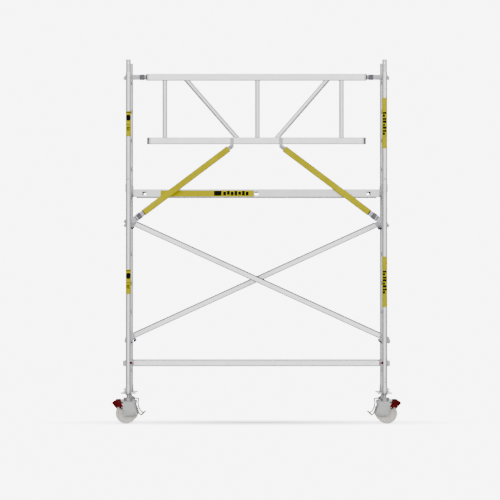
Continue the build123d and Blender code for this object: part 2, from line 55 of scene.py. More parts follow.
# ---- sizes read from the CAD frame -------------------------------------------------------------
low_post, high_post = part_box("lower_left_frame")
POST_X = -(low_post[0] + high_post[0]) / 2
POST_R = (high_post[0] - low_post[0]) / 2
POST_Y = high_post[1] - POST_R
FOOT_Z, JOINT_Z = low_post[2], high_post[2]
TOP_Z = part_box("upper_left_frame")[1][2]
RUNG_R = 0.019
RUNG_PITCH = 0.280
LOWER_RUNGS = [FOOT_Z + 0.195 + RUNG_PITCH * k for k in range(7)]
UPPER_RUNGS = [JOINT_Z + 0.195 + RUNG_PITCH * k for k in range(4)]
beam_low, beam_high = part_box("platform_beams")
deck_low, deck_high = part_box("platform_deck")
hatch_low, hatch_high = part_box("hatch")
rail_low, rail_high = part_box("guardrail_frame")
RAIL_Y = (rail_low[1] + rail_high[1]) / 2
RAIL_H, RAIL_T = 0.066, 0.050
GUARD_UPRIGHTS = (-0.877, 0.009, 0.813)

# the platform's side beam: its web and the windows in it
WEB = 0.003
WINDOWS_X = (-1.075, 0.0, 1.075)
WINDOW_Z, WINDOW_W, WINDOW_H = 2.202, 0.037, 0.034


# ---- shader helpers ----------------------------------------------------------------------------
class Shader:
    """A material built node by node."""

    def __init__(self, name):
        self.material = bpy.data.materials.new(name)
        self.material.use_nodes = True
        self.tree = self.material.node_tree
        self.tree.nodes.clear()
        self.coords = self.add("ShaderNodeTexCoord")

    def add(self, kind, links=None, values=None, **settings):
        node = self.tree.nodes.new(kind)
        for key, value in settings.items():
            setattr(node, key, value)
        for key, value in (values or {}).items():
            node.inputs[key].default_value = value
        for key, source in (links or {}).items():
            self.tree.links.new(source, node.inputs[key])
        return node

    def place(self, scale, rotation=(0, 0, 0)):
        return self.add("ShaderNodeMapping", {"Vector": self.coords.outputs["Object"]},
                        {"Scale": scale, "Rotation": rotation}).outputs["Vector"]

    def noise(self, vector, scale, detail=4.0, rough=0.55):
        return self.add("ShaderNodeTexNoise", {"Vector": vector},
                        {"Scale": scale, "Detail": detail, "Roughness": rough}).outputs["Fac"]

    def math(self, operation, a, b=None, clamp=False):
        node = self.add("ShaderNodeMath", operation=operation, use_clamp=clamp)
        for index, value in enumerate((a, b)):
            if value is None:
                continue
            if isinstance(value, (int, float)):
                node.inputs[index].default_value = value
            else:
                self.tree.links.new(value, node.inputs[index])
        return node.outputs[0]

    def spread(self, value, low, high, to_low, to_high):
        limits = {"From Min": low, "From Max": high, "To Min": to_low, "To Max": to_high}
        return self.add("ShaderNodeMapRange", {"Value": value}, limits).outputs["Result"]

    def mix(self, factor, a, b):
        node = self.add("ShaderNodeMix", data_type="RGBA")
        self.tree.links.new(factor, node.inputs["Factor"])
        for key, value in ((6, a), (7, b)):
            if isinstance(value, tuple):
                node.inputs[key].default_value = (*value, 1.0)
            else:
                self.tree.links.new(value, node.inputs[key])
        return node.outputs[2]

    def separate(self, vector=None):
        source = vector or self.coords.outputs["Object"]
        return self.add("ShaderNodeSeparateXYZ", {"Vector": source}).outputs

    def output(self, shader):
        """Send a shader node's BSDF to the material's surface."""
        out = self.add("ShaderNodeOutputMaterial")
        self.tree.links.new(shader.outputs["BSDF"], out.inputs["Surface"])
        return self.material

    def finish(self, colour, metallic, roughness, height, strength, distance=0.0006, specular=0.5):
        bump = self.add("ShaderNodeBump", {"Height": height}, {"Strength": strength, "Distance": distance})
        links = {"Base Color": colour, "Roughness": roughness, "Normal": bump.outputs["Normal"]}
        constants = {"Metallic": metallic, "Specular IOR Level": specular}
        return self.output(self.add("ShaderNodeBsdfPrincipled", links, constants))


# painted shade: the colour of the dark line laid along the upper edge of the diagonal braces
PAINTED_SHADE_COLOUR = (0.035, 0.035, 0.037)


def grained(name, dark, light, metallic, rough, stretch, turn=(0, 0, 0), ribs=None):
    """Metal or plastic with a directional grain, blotches, scratches and patchy roughness."""
    s = Shader(name)
    plain = s.coords.outputs["Object"]
    grain = s.noise(s.place(stretch, turn), 1.0, 6.0, 0.6)
    blotch = s.noise(plain, 9.0, 3.0)
    scratch = s.noise(s.place(tuple(v * 0.35 for v in stretch), turn), 1.0, 2.0, 0.4)
    scratch = s.spread(scratch, 0.66, 0.72, 0.0, 1.0)
    tone = s.math("ADD", s.math("MULTIPLY", grain, 0.6), s.math("MULTIPLY", blotch, 0.4))
    colour = s.mix(s.spread(tone, 0.35, 0.65, 0.0, 1.0), dark, light)
    worn = tuple(min(v * 1.12, 1.0) for v in light)
    colour = s.mix(s.math("MULTIPLY", scratch, 0.35), colour, worn)
    patchy = s.math("ADD", blotch, s.math("MULTIPLY", grain, 0.3))
    roughness = s.spread(patchy, 0.4, 0.9, rough - 0.07, rough + 0.1)
    height = s.math("ADD", grain, s.math("MULTIPLY", scratch, -0.8))
    if ribs:
        relief, shade_line = ribs(s)
        height = s.math("ADD", height, relief)
        # painted shade: a dark line handed back by the ribs function is mixed into the colour
        if shade_line:
            colour = s.mix(s.math("MULTIPLY", shade_line, 0.95), colour, PAINTED_SHADE_COLOUR)
    return s.finish(colour, metallic, roughness, height, 0.15)


def rung_ribs(s):
    """Anti-slip ribs along the rungs, which lie between the posts."""
    pitch = 0.0035
    x, y, z = s.separate()
    between = s.math("LESS_THAN", s.math("ABSOLUTE", y), POST_Y - POST_R - 0.004)
    wave = s.math("SINE", s.math("MULTIPLY", z, math.tau / pitch))
    return s.math("MULTIPLY", s.math("MULTIPLY", wave, between), 1.6), None


def brace_flutes_and_shade_line(sign):
    """Shallow flutes along a diagonal brace, and a dark line of painted shade near its upper edge."""
    pitch, shade_line_at, shade_line_half = 0.0075, 0.0215, 0.0050

    def ribs(s):
        x, y, z = s.separate()
        slope = s.math("MULTIPLY", x, sign * math.tan(TILT))
        above = s.math("MULTIPLY", s.math("SUBTRACT", s.math("ADD", z, slope), BRACE_MID), math.cos(TILT))
        flutes = s.math("MULTIPLY", s.math("SINE", s.math("MULTIPLY", above, math.tau / pitch)), 0.9)
        # painted shade: a dark band just below the brace's upper edge
        shade_line = s.math("COMPARE", above, shade_line_at)
        shade_line.node.inputs[2].default_value = shade_line_half
        return flutes, shade_line
    return ribs


def cast(name, dark, light, metallic, rough, bump=0.35, specular=0.5):
    """Cast or moulded surface: fine pebbling and faint patches."""
    s = Shader(name)
    plain = s.coords.outputs["Object"]
    pebble = s.noise(plain, 620.0, 3.0, 0.6)
    patch = s.noise(plain, 26.0, 4.0)
    tone = s.math("ADD", s.math("MULTIPLY", pebble, 0.4), s.math("MULTIPLY", patch, 0.6))
    colour = s.mix(s.spread(tone, 0.35, 0.65, 0.0, 1.0), dark, light)
    roughness = s.spread(patch, 0.3, 0.7, rough - 0.08, rough + 0.1)
    return s.finish(colour, metallic, roughness, pebble, bump, 0.0004, specular)


def painted(name, dark, light, bare, rough):
    """Paint with orange peel, dirt in patches and small chips down to the metal."""
    s = Shader(name)
    plain = s.coords.outputs["Object"]
    peel = s.noise(plain, 380.0, 2.0)
    patch = s.noise(plain, 7.0, 5.0)
    chips = s.spread(s.noise(plain, 41.0, 6.0, 0.7), 0.775, 0.785, 0.0, 1.0)
    colour = s.mix(s.spread(patch, 0.35, 0.65, 0.0, 1.0), dark, light)
    colour = s.mix(chips, colour, bare)
    patchy = s.math("ADD", patch, s.math("MULTIPLY", chips, 0.4))
    roughness = s.spread(patchy, 0.3, 0.9, rough - 0.05, rough + 0.2)
    return s.finish(colour, 0.0, roughness, s.math("SUBTRACT", peel, chips), 0.12, specular=0.02)


def plywood(name):
    """Film-faced plywood: a pressed anti-slip mesh on the faces, laminations on the edges."""
    s = Shader(name)
    x, y, z = s.separate()
    normal = s.separate(s.coords.outputs["Normal"])
    edge = s.math("LESS_THAN", s.math("ABSOLUTE", normal[2]), 0.5)
    mesh_pitch, ply_pitch = 0.0058, 0.0027
    half_turn = math.pi / mesh_pitch
    mesh_x = s.math("ABSOLUTE", s.math("SINE", s.math("MULTIPLY", s.math("ADD", x, y), half_turn)))
    mesh_y = s.math("ABSOLUTE", s.math("SINE", s.math("MULTIPLY", s.math("SUBTRACT", x, y), half_turn)))
    mesh = s.spread(s.math("MINIMUM", mesh_x, mesh_y), 0.0, 0.35, 1.0, 0.0)
    wear = s.noise(s.coords.outputs["Object"], 5.0, 6.0, 0.6)
    film = s.mix(s.spread(wear, 0.35, 0.7, 0.0, 1.0), (0.085, 0.045, 0.026), (0.16, 0.095, 0.06))
    film = s.mix(s.math("MULTIPLY", mesh, 0.45), film, (0.045, 0.025, 0.016))
    fibre = s.noise(s.place((12.0, 12.0, 900.0)), 1.0, 4.0)
    ply = s.math("SINE", s.math("MULTIPLY", z, math.tau / ply_pitch))
    stack = s.spread(s.math("ADD", ply, fibre), -0.8, 1.8, 0.0, 1.0)
    layers = s.mix(stack, (0.22, 0.13, 0.07), (0.52, 0.37, 0.22))
    colour = s.mix(edge, film, layers)
    roughness = s.spread(wear, 0.3, 0.7, 0.42, 0.62)
    height = s.math("ADD", mesh, s.math("MULTIPLY", fibre, 0.3))
    return s.finish(colour, 0.0, roughness, height, 0.5, 0.0005)


ALU_DARK, ALU_LIGHT = (0.76, 0.76, 0.775), (0.90, 0.90, 0.915)
UPWARD, SIDEWAYS = (700, 700, 5), (5, 700, 700)
TILT = math.atan2(LOWER_RUNGS[5] - LOWER_RUNGS[1], 2 * POST_X)
BRACE_MID = (LOWER_RUNGS[5] + LOWER_RUNGS[1]) / 2 + 0.034
M = {
    "upright": grained("aluminium_drawn_upright", ALU_DARK, ALU_LIGHT, 0.9, 0.34, UPWARD, ribs=rung_ribs),
    "rail": grained("aluminium_drawn_rail", (0.88, 0.88, 0.89), (0.97, 0.97, 0.98), 0.7, 0.36, SIDEWAYS),
    "slope": grained("aluminium_drawn_brace", ALU_DARK, ALU_LIGHT, 0.9, 0.34, SIDEWAYS, (0, -TILT, 0),
                     brace_flutes_and_shade_line(1)),
    "slope_back": grained("aluminium_drawn_brace_back", ALU_DARK, ALU_LIGHT, 0.9, 0.34, SIDEWAYS,
                          (0, TILT, 0), brace_flutes_and_shade_line(-1)),
    "spigot": grained("aluminium_spigot", (0.60, 0.60, 0.615), (0.76, 0.76, 0.775), 0.9, 0.4,
                      (500, 500, 5)),
    # painted shade: the platform beams get a darker aluminium than the uprights, for their recessed place
    "beam": grained("aluminium_beam_painted_shade", (0.58, 0.58, 0.59), (0.72, 0.72, 0.73), 0.9, 0.36, SIDEWAYS),
    "collar": cast("aluminium_collar", (0.68, 0.68, 0.69), (0.82, 0.82, 0.83), 0.9, 0.38, 0.2),
    "casting": cast("aluminium_casting", (0.34, 0.34, 0.355), (0.50, 0.50, 0.515), 0.85, 0.5),
    "zinc": cast("zinc_plated_steel", (0.31, 0.315, 0.31), (0.46, 0.46, 0.45), 0.9, 0.46, 0.12),
    "thread": grained("spindle_steel", (0.46, 0.46, 0.45), (0.64, 0.64, 0.62), 0.9, 0.36, (300, 300, 40)),
    "weld": cast("weld_bead", (0.56, 0.56, 0.57), (0.74, 0.74, 0.75), 0.85, 0.42, 0.5),
    "yellow": painted("yellow_paint", (0.45, 0.395, 0.0), (0.53, 0.465, 0.0), (0.45, 0.45, 0.46), 0.40),
    "red": painted("dark_red_paint", (0.055, 0.0020, 0.0030), (0.115, 0.0040, 0.0055),
                   (0.30, 0.28, 0.28), 0.42),
    "lever": cast("lever_steel", (0.085, 0.085, 0.085), (0.150, 0.150, 0.150), 0.7, 0.42, 0.2),
    "grey_plastic": cast("dark_grey_plastic", (0.095, 0.090, 0.105), (0.155, 0.145, 0.170), 0.0, 0.46,
                         0.3, 0.2),
    "black_plastic": cast("black_plastic", (0.003, 0.003, 0.0035), (0.009, 0.009, 0.010), 0.0, 0.42,
                          0.3, 0.08),
    "pale_plastic": cast("pale_grey_plastic", (0.60, 0.59, 0.58), (0.74, 0.73, 0.72), 0.0, 0.44, 0.25),
    "blue": cast("blue_plastic", (0.004, 0.012, 0.034), (0.010, 0.026, 0.070), 0.0, 0.34, 0.2, 0.15),
    "nylon": cast("off_white_nylon", (0.62, 0.58, 0.535), (0.80, 0.76, 0.71), 0.0, 0.5, 0.3, 0.2),
    "plywood": plywood("film_faced_plywood"),
    "sticker": cast("yellow_sticker", (0.45, 0.395, 0.0), (0.53, 0.465, 0.0), 0.0, 0.4, 0.08, 0.0),
    "ink": cast("black_sticker_ink", (0.002, 0.002, 0.002), (0.005, 0.005, 0.0055), 0.0, 0.45,
                0.08, 0.03),
}


# ---- mesh helpers ------------------------------------------------------------------------------
def add_piece(name, verts, faces, material, body, smooth=40, bevel=0.0):
    """Make a mesh piece, finish it and hang it on its CAD body."""
    mesh = bpy.data.meshes.new(name)
    mesh.from_pydata(verts, [], faces)
    bm = bmesh.new()
    bm.from_mesh(mesh)
    bmesh.ops.recalc_face_normals(bm, faces=bm.faces)
    bm.to_mesh(mesh)
    bm.free()
    mesh.shade_smooth()
    mesh.set_sharp_from_angle(angle=math.radians(smooth))
    obj = bpy.data.objects.new(name, mesh)
    bpy.context.scene.collection.objects.link(obj)
    mesh.materials.append(M[material])
    if bevel:
        soften(obj, bevel)
    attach(obj, body)
    return obj


def soften(obj, width, angle=38):
    mod = obj.modifiers.new("edges", "BEVEL")
    mod.width = width
    mod.segments = 2
    mod.limit_method = "ANGLE"
    mod.angle_limit = math.radians(angle)
    mod.harden_normals = True


class Build:
    """Collects vertices and faces of one piece."""

    def __init__(self):
        self.verts = []
        self.faces = []

    def grid(self, rows, close_rows=False, close_cols=False):
        """Rows of points joined into quads."""
        start = len(self.verts)
        n, m = len(rows), len(rows[0])
        for row in rows:
            self.verts += [tuple(p) for p in row]
        for i in range(n if close_rows else n - 1):
            for j in range(m if close_cols else m - 1):
                a = start + i * m + j
                b = start + i * m + (j + 1) % m
                c = start + ((i + 1) % n) * m + (j + 1) % m
                d = start + ((i + 1) % n) * m + j
                self.faces.append((a, b, c, d))
        return start

    def cap(self, indices):
        self.faces.append(tuple(indices))

    def tube(self, points, radius, sides=8, closed=False, ends=True):
        """A round tube through points; radius is a number or one per point."""
        pts = [Vector(p) for p in points]
        count = len(pts)
        radii = radius if isinstance(radius, list) else [radius] * count
        rows = []
        normal = None
        for i, p in enumerate(pts):
            before = pts[i - 1] if (closed or i) else p
            after = pts[(i + 1) % count] if (closed or i < count - 1) else p
            along = (after - before).normalized()
            if normal is None:
                guide = Vector((0, 0, 1)) if abs(along.z) < 0.9 else Vector((1, 0, 0))
                normal = along.cross(guide).normalized()
            normal = (normal - along * normal.dot(along)).normalized()
            side = along.cross(normal)
            rows.append([p + (normal * math.cos(t) + side * math.sin(t)) * radii[i]
                         for t in (math.tau * k / sides for k in range(sides))])
        start = self.grid(rows, closed, True)
        if ends and not closed:
            self.cap(range(start, start + sides))
            self.cap(range(start + (count - 1) * sides, start + count * sides))

    def lathe(self, profile, centre, axis, sides=40):
        """Spin (radius, height) pairs about an axis through centre; heights run along the axis."""
        axis = Vector(axis).normalized()
        guide = Vector((0, 0, 1)) if abs(axis.z) < 0.9 else Vector((1, 0, 0))
        one = axis.cross(guide).normalized()
        two = axis.cross(one)
        centre = Vector(centre)
        rows = []
        for k in range(sides):
            t = math.tau * k / sides
            out = one * math.cos(t) + two * math.sin(t)
            rows.append([centre + out * r + axis * h for r, h in profile])
        self.grid(rows, True, False)

    def loft(self, loops):
        """Closed loops joined and capped."""
        start = self.grid(loops, False, True)
        m = len(loops[0])
        self.cap(range(start, start + m))
        self.cap(range(start + (len(loops) - 1) * m, start + len(loops) * m))

    def piece(self, name, material, body, smooth=40, bevel=0.0):
        return add_piece(name, self.verts, self.faces, material, body, smooth, bevel)


def rounded_loop(width, height, radius, steps=5):
    """Corner-rounded rectangle as (u, v) pairs."""
    loop = []
    for cx, cy, start in ((1, 1, 0), (-1, 1, 90), (-1, -1, 180), (1, -1, 270)):
        for k in range(steps + 1):
            t = math.radians(start + 90 * k / steps)
            loop.append((cx * (width / 2 - radius) + radius * math.cos(t),
                         cy * (height / 2 - radius) + radius * math.sin(t)))
    return loop


def band(build, origin, along, stops, width, height, radius):
    """Rounded bar along a direction in the XZ plane: stops are (distance, growth) pairs."""
    along = Vector(along).normalized()
    up = Vector((-along.z, 0, along.x))
    across = Vector((0, 1, 0))
    origin = Vector(origin)
    loops = []
    for distance, growth in stops:
        loop = rounded_loop(width + 2 * growth, height + 2 * growth, radius + growth)
        loops.append([origin + along * distance + across * u + up * v for u, v in loop])
    build.loft(loops)


def copy_node(name, material, bevel=0.0008, keep=None, piece_name=None):
    """A softened copy of a CAD node, or of those of its solids that keep() picks by their middle."""
    source = NODES[name]
    bm = bmesh.new()
    bm.from_mesh(source.data)
    bmesh.ops.transform(bm, matrix=source.matrix_world, verts=bm.verts)
    bmesh.ops.remove_doubles(bm, verts=bm.verts, dist=1e-6)
    if keep:
        left = set(bm.verts)
        drop = []
        while left:
            stack = [left.pop()]
            island = []
            while stack:
                v = stack.pop()
                island.append(v)
                for e in v.link_edges:
                    other = e.other_vert(v)
                    if other in left:
                        left.remove(other)
                        stack.append(other)
            low = [min(v.co[k] for v in island) for k in range(3)]
            high = [max(v.co[k] for v in island) for k in range(3)]
            if not keep(Vector([(a + b) / 2 for a, b in zip(low, high)])):
                drop += island
        bmesh.ops.delete(bm, geom=drop, context="VERTS")
    mesh = bpy.data.meshes.new(piece_name or name + "_skin")
    bm.to_mesh(mesh)
    bm.free()
    mesh.materials.clear()
    mesh.materials.append(M[material])
    for polygon in mesh.polygons:
        polygon.material_index = 0
    mesh.shade_smooth()
    mesh.set_sharp_from_angle(angle=math.radians(35))
    obj = bpy.data.objects.new(mesh.name, mesh)
    bpy.context.scene.collection.objects.link(obj)
    if bevel:
        soften(obj, bevel)
    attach(obj, BODY_OF[name])
    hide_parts(name)
    return obj


def repaint(name, material):
    """Give a CAD node that stays in view its finish."""
    obj = NODES[name]
    if not obj.material_slots:
        obj.data.materials.append(M[material])
    for place in obj.material_slots:
        place.link = "OBJECT"
        place.material = M[material]


# ---- CAD nodes ---------------------------------------------------------------------------------
for key in ("lower_left_frame", "lower_right_frame", "upper_left_frame", "upper_right_frame"):
    repaint(key, "upright")
for key in ("guardrail_frame", "front_base_tube", "rear_base_tube"):
    repaint(key, "rail")
for key in ("platform_beams", "platform_crossbars"):
    repaint(key, "beam")
repaint("front_diagonal", "slope")
repaint("rear_diagonal", "slope_back")
repaint("joint_spigots", "spigot")
for key in ("brace_claws", "guardrail_claws", "platform_hooks"):
    copy_node(key, "casting", 0.0012)
copy_node("post_collars", "collar", 0.0012)
for key in ("lock_pins", "strut_brackets", "hatch_hinges"):
    copy_node(key, "zinc", 0.0006)
for key in ("left_rail_sleeve", "right_rail_sleeve", "left_strut_sleeve", "right_strut_sleeve"):
    copy_node(key, "grey_plastic", 0.0015)
copy_node("guardrail_caps", "black_plastic", 0.0008)
repaint("platform_deck", "plywood")
copy_node("hatch", "plywood", 0.0, lambda c: c.z < deck_high[2], "hatch_panel")
copy_node("hatch", "zinc", 0.0005, lambda c: c.z > deck_high[2], "hatch_leaves")
for end in ENDS:
    for side in SIDES:
        copy_node(f"{end}_base_{side}_latch", "red", 0.0012)
        copy_node(f"{end}_diagonal_{side}_latch", "blue", 0.0012)
        copy_node(f"{end}_{side}_adjusting_nut", "collar", 0.0015)
        copy_node(f"{end}_{side}_castor_fork", "zinc", 0.0012)
        copy_node(f"{end}_{side}_brake_pedal", "red", 0.0012)
        copy_node(f"{end}_{side}_release_lever", "lever", 0.0008)

# ---- end frames: weld beads, rivets and plugs --------------------------------------------------
for key, rungs in (("lower", LOWER_RUNGS), ("upper", UPPER_RUNGS)):
    for side, sx in SIDES.items():
        build = Build()
        for z in rungs:
            for sy in (-1, 1):
                loop = []
                for k in range(36):
                    t = math.tau * k / 36
                    dx, dz = (RUNG_R + 0.0008) * math.sin(t), (RUNG_R + 0.0008) * math.cos(t)
                    dy = math.sqrt((POST_R + 0.0006) ** 2 - dx * dx)
                    loop.append((sx * POST_X + dx, sy * (POST_Y - dy), z + dz))
                build.tube(loop, [0.0022 + 0.0004 * (k % 2) for k in range(36)], 6, True)
        build.piece(f"{key}_{side}_weld_beads", "weld", "tower", 60)

rivets = Build()
DOME = [(0.0, 0.0018), (0.002, 0.0016), (0.0036, 0.0008), (0.0042, -0.0006)]
PLUGS_Z, PLUG_OFF = (0.292, 0.317), 0.005
for sx in (-1, 1):
    for sy in (-1, 1):
        for z in (JOINT_Z - 0.060, JOINT_Z - 0.072 + 0.060 * 2.4, TOP_Z - 0.055):
            rivets.lathe(DOME, (sx * POST_X, sy * (POST_Y + POST_R), z), (0, sy, 0), 16)
        for z in (FOOT_Z + 0.022, JOINT_Z - 0.02, JOINT_Z + 0.016):
            rivets.lathe(DOME, (sx * (POST_X + POST_R + 0.0042), sy * POST_Y, z), (sx, 0, 0), 16)
rivets.piece("post_rivets", "zinc", "tower", 60)

plugs = Build()
for sx in (-1, 1):
    for sy in (-1, 1):
        for z in PLUGS_Z:
            plugs.lathe(DOME, (sx * (POST_X + PLUG_OFF), sy * (POST_Y + 0.0249), z), (0, sy, 0), 16)
plugs.piece("post_foot_plugs", "grey_plastic", "tower", 60)

# snap wires of the lock pins, sprung round the post
wires = Build()
pin_z = (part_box("lock_pins")[0][2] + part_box("lock_pins")[1][2]) / 2
for sx in (-1, 1):
    for sy in (-1, 1):
        points = []
        for k in range(25):
            t = math.radians(-90 + 200 * k / 24)
            reach = POST_R + 0.0032
            points.append((sx * (POST_X + reach * math.cos(t)), sy * (POST_Y - reach * math.sin(t)),
                           pin_z - 0.012 * math.sin(math.pi * k / 24)))
        wires.tube(points, 0.0013, 8)
wires.piece("lock_pin_wires", "zinc", "tower", 60)


# ---- post labels -------------------------------------------------------------------------------
def wrap(build, sx, z0, z1, a0, a1, lift):
    """A patch of label round the front of a front post; angles from the front, in degrees."""
    steps = max(2, int(abs(a1 - a0) / 6))
    radius = POST_R + lift
    rows = []
    for k in range(steps + 1):
        t = math.radians(a0 + (a1 - a0) * k / steps)
        x, y = sx * POST_X + radius * math.sin(t), -POST_Y - radius * math.cos(t)
        rows.append([(x, y, z0), (x, y, z1)])
    build.grid(rows)


def disc(build, sx, z, radius, lift):
    """A round patch wrapped on the front of a front post."""
    shell = POST_R + lift
    tower_shadow = math.degrees(radius / shell)
    rows = []
    for k in range(17):
        a = math.radians(tower_shadow) * (k / 8 - 1)
        half = radius * math.sqrt(max(0.0, 1 - (k / 8 - 1) ** 2)) + 0.0002
        x, y = sx * POST_X + shell * math.sin(a), -POST_Y - shell * math.cos(a)
        rows.append([(x, y, z - half), (x, y, z + half)])
    build.grid(rows)


def post_label(name, sx, z0, z1, blocks, disc_at=None):
    base = Build()
    wrap(base, sx, z0, z1, -88, 88, 0.0003)
    base.piece(name + "_film", "sticker", "tower", 60)
    marks = Build()
    for b0, b1, a0, a1 in blocks:
        wrap(marks, sx, z0 + (z1 - z0) * b0, z0 + (z1 - z0) * b1, a0, a1, 0.0005)
    if disc_at:
        disc(marks, sx, z0 + (z1 - z0) * disc_at, 0.029, 0.0005)
    marks.piece(name + "_marks", "ink", "tower", 60)


# blocks of a label: from and to as fractions of its height, then from and to in degrees
warning = [(0.925, 0.955, -60, 60), (0.45, 0.465, -45, 45), (0.335, 0.365, -35, 35),
           (0.285, 0.315, -35, 20), (0.235, 0.265, -35, 35)]
strokes = [(0.270 + 0.059 * k, 0.270 + 0.059 * k + (0.036 if k % 2 else 0.046), -48, 8 + 34 * (k % 3 > 0))
           for k in range(8)]
post_label("upper_left_label", -1, 2.744, 2.988, warning, 0.735)
post_label("lower_left_label", -1, 1.236, 1.474, warning, 0.735)
post_label("upper_right_label", 1, 2.629, 3.113, strokes)
post_label("lower_right_label", 1, 1.112, 1.597, strokes)

# platform label: yellow film with generic blocks
front_y = beam_low[1]
film = Build()
film_z = (beam_low[2] + 0.001, beam_high[2] - 0.011)
film.grid([[(x, front_y - 0.0004, z) for z in film_z] for x in (-0.919, -0.024)])
film.piece("platform_label_film", "sticker", "tower", 60)
ink = Build()
bars = [(-0.406, -0.335, 0.010, 0.056)]
for k in range(7):
    left = -0.318 + 0.036 * k
    bars.append((left, left + 0.026, 0.012 + 0.006 * (k % 3 == 1), 0.048 + 0.007 * (k % 2)))
for x0, x1, z0, z1 in bars:
    ink.grid([[(x, front_y - 0.0007, beam_low[2] + z) for z in (z0, z1)] for x in (x0, x1)])
ink.piece("platform_label_marks", "ink", "tower", 60)

# ---- guardrail: weld beads and end bands -------------------------------------------------------
beads = Build()
bead_r = 0.0242
for x in GUARD_UPRIGHTS:
    for z in (rail_high[2] - RAIL_H, rail_low[2] + RAIL_H):
        points = [(x + bead_r * math.cos(t), RAIL_Y + bead_r * math.sin(t), z)
                  for t in (math.tau * k / 40 for k in range(40))]
        beads.tube(points, [0.0021 + 0.0004 * (k % 2) for k in range(40)], 6, True)
beads.piece("guardrail_weld_beads", "weld", "tower", 60)

bands = Build()
ends = ((rail_high[2] - RAIL_H / 2, rail_high[0]), (rail_low[2] + RAIL_H / 2, rail_high[0] - 0.018))
for sx in (-1, 1):
    for z, end_x in ends:
        stops = [(end_x - 0.0155, 0.0), (end_x - 0.0145, 0.0006), (end_x - 0.0015, 0.0006),
                 (end_x - 0.0005, 0.0)]
        band(bands, (0, RAIL_Y, z), (sx, 0, 0), stops, RAIL_T, RAIL_H, 0.008)
bands.piece("rail_end_bands", "pale_plastic", "tower", 40)

# painted shade: thin dark strips behind the upper and outer edges of the windows in the front side beam
window_shade = Build()
window_top = WINDOW_Z + WINDOW_H / 2
for wx in WINDOWS_X:
    strips = [(wx - WINDOW_W / 2 - 0.002, wx + WINDOW_W / 2 + 0.002, 0.010)]
    if wx:
        outer = wx + math.copysign(WINDOW_W / 2, wx)
        inner = outer - math.copysign(0.009, wx)
        strips.append((min(outer, inner), max(outer, inner), WINDOW_H))
    for x0, x1, tall in strips:
        low_z = window_top - tall
        corners = ((x0, low_z), (x1, low_z), (x1, window_top), (x0, window_top))
        window_shade.loft([[(x, beam_low[1] + WEB + d, z) for x, z in corners] for d in (0.0, 0.0004)])
window_shade.piece("painted_window_shade", "black_plastic", "tower", 40)

# ---- struts: painted tube, cast claw and lug, rings --------------------------------------------
CLAW_REACH, LUG_REACH = 0.187, 0.05
RINGS = (("end_ring", 0.180, 0.1885, 0.0, "black_plastic"),
         ("pale_ring", 0.0945, 0.1055, 0.0, "pale_plastic"),
         ("claw_ring", 0.0885, 0.0945, 0.001, "black_plastic"))
pivot = JOINT["left_strut_lift"]["pos_m"]
for side, sx in SIDES.items():
    body = f"{side}_strut_body"
    foot = Vector((sx * POST_X, RAIL_Y, LOWER_RUNGS[5]))
    run = Vector((sx * abs(pivot[0]) - foot.x, 0, pivot[2] - foot.z))
    unit = run.normalized()
    lug_from = run.length - LUG_REACH
    copy_node(f"{side}_strut", "yellow", 0.0012,
              lambda c: CLAW_REACH < (c - foot).dot(unit) < lug_from, f"{side}_strut_tube")
    copy_node(f"{side}_strut", "casting", 0.0012,
              lambda c: (c - foot).dot(unit) < CLAW_REACH, f"{side}_strut_claw")
    copy_node(f"{side}_strut", "casting", 0.0010,
              lambda c: (c - foot).dot(unit) > lug_from, f"{side}_strut_lug")
    for label, d0, d1, grow, material in RINGS:
        ring = Build()
        stops = [(d0, grow - 0.001), (d0 + 0.001, grow), (d1 - 0.001, grow), (d1, grow - 0.001)]
        band(ring, foot, run, stops, 0.030, 0.062, 0.010)
        ring.piece(f"{side}_strut_{label}", material, body, 40)

# ---- castors -----------------------------------------------------------------------------------
THREAD_PITCH, THREAD_STEP, THREAD_SIDES = 0.008, 0.00135, 28
ROOT_R, THREAD_DEPTH = 0.0166, 0.0016


def spindle(tag):
    """Threaded leg with its swivel flange."""
    low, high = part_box(tag + "leg_spindle")
    cx, cy = (low[0] + high[0]) / 2, (low[1] + high[1]) / 2
    flange = (high[0] - low[0]) / 2
    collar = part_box(tag + "castor_fork")[1][2] + 0.001
    build = Build()
    foot = [(0.0075, low[2]), (0.0079, low[2] + 0.001), (0.0079, collar), (flange - 0.002, collar),
            (flange, collar + 0.002), (flange, collar + 0.006), (flange - 0.002, collar + 0.008),
            (0.030, collar + 0.008), (0.029, collar + 0.010), (0.0205, collar + 0.016),
            (0.0165, collar + 0.0165)]
    build.lathe(foot, (cx, cy, 0), (0, 0, 1), 48)
    base = collar + 0.0155
    rows = []
    count = int((high[2] - 0.012 - base) / THREAD_STEP)
    for i in range(count + 1):
        z = base + i * THREAD_STEP
        row = []
        for k in range(THREAD_SIDES):
            t = k / THREAD_SIDES
            phase = (z / THREAD_PITCH - t) % 1.0
            crest = min(1.0, max(0.0, 2.2 * (1 - abs(2 * phase - 1)) - 0.5))
            radius = ROOT_R + THREAD_DEPTH * crest
            row.append((cx + radius * math.cos(math.tau * t), cy + radius * math.sin(math.tau * t), z))
        rows.append(row)
    build.grid(rows, False, True)
    tip = [(ROOT_R, high[2] - 0.0125), (0.0178, high[2] - 0.012), (0.0178, high[2] - 0.001),
           (0.0170, high[2]), (0.0140, high[2]), (0.0138, high[2] - 0.03)]
    build.lathe(tip, (cx, cy, 0), (0, 0, 1), 32)
    obj = build.piece(tag + "threaded_leg", "thread", BODY_OF[tag + "leg_spindle"], 50)
    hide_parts(tag + "leg_spindle")


